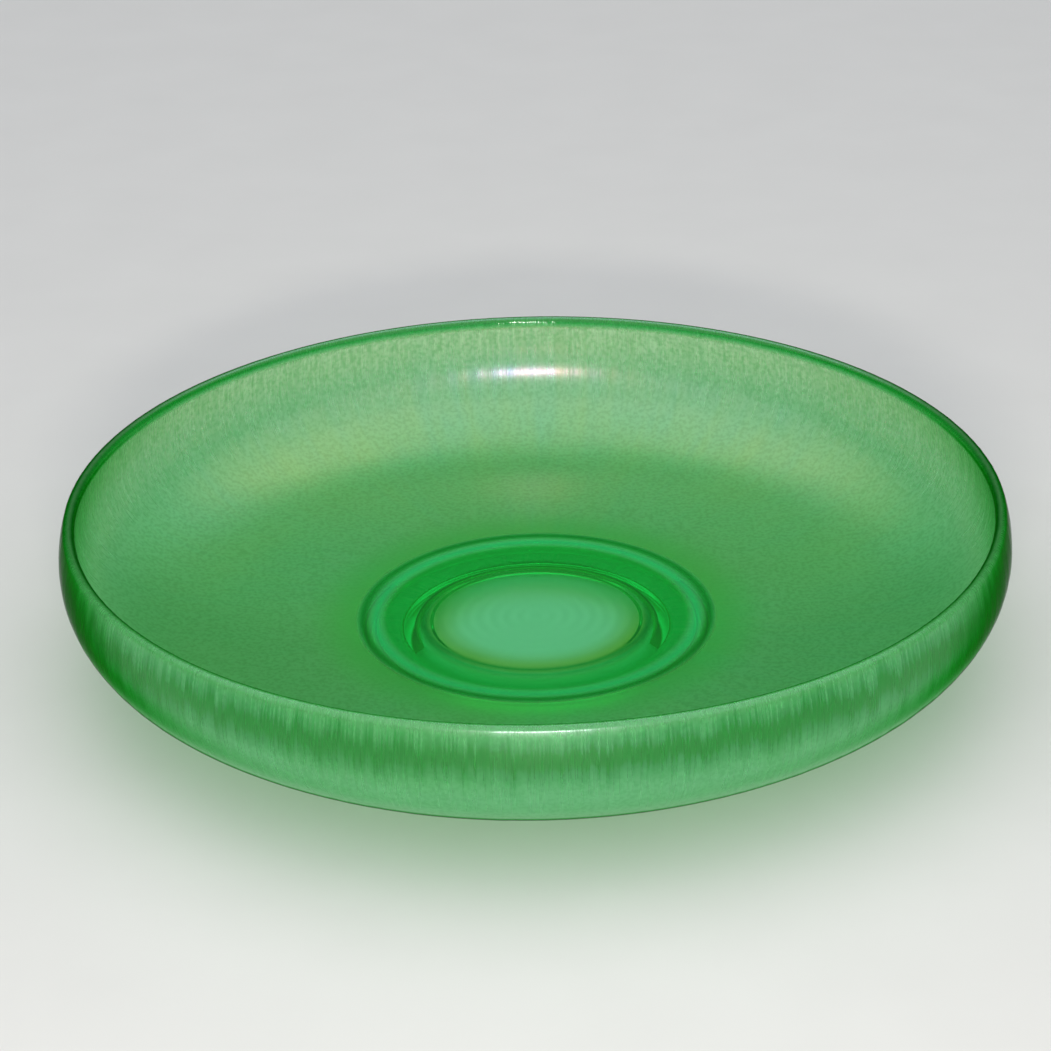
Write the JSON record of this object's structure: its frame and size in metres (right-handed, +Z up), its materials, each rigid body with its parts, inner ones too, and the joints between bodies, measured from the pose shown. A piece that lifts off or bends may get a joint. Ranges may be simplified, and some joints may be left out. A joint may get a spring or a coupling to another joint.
{
  "type": "low glass dish",
  "caption": "Low round dish of green uranium glass with a turned-in rim, a clear base and a foot ring, open at the top.",
  "frame": {"origin": "centre of the foot ring's resting plane, on the dish's axis", "axes": "+Z up along the dish's axis, out of its mouth; X and Y are alike because the dish is round"},
  "size_m": [0.25, 0.25, 0.045],
  "materials": {
    "stretched_green_glass": "satin iridescent, fine stretch marks",
    "clear_green_glass": "glossy, fire polished"
  },
  "bodies": {
    "root": {"bowl": "stretched_green_glass", "base_disc": "clear_green_glass", "foot_ring": "clear_green_glass"}
  },
  "joints": []
}
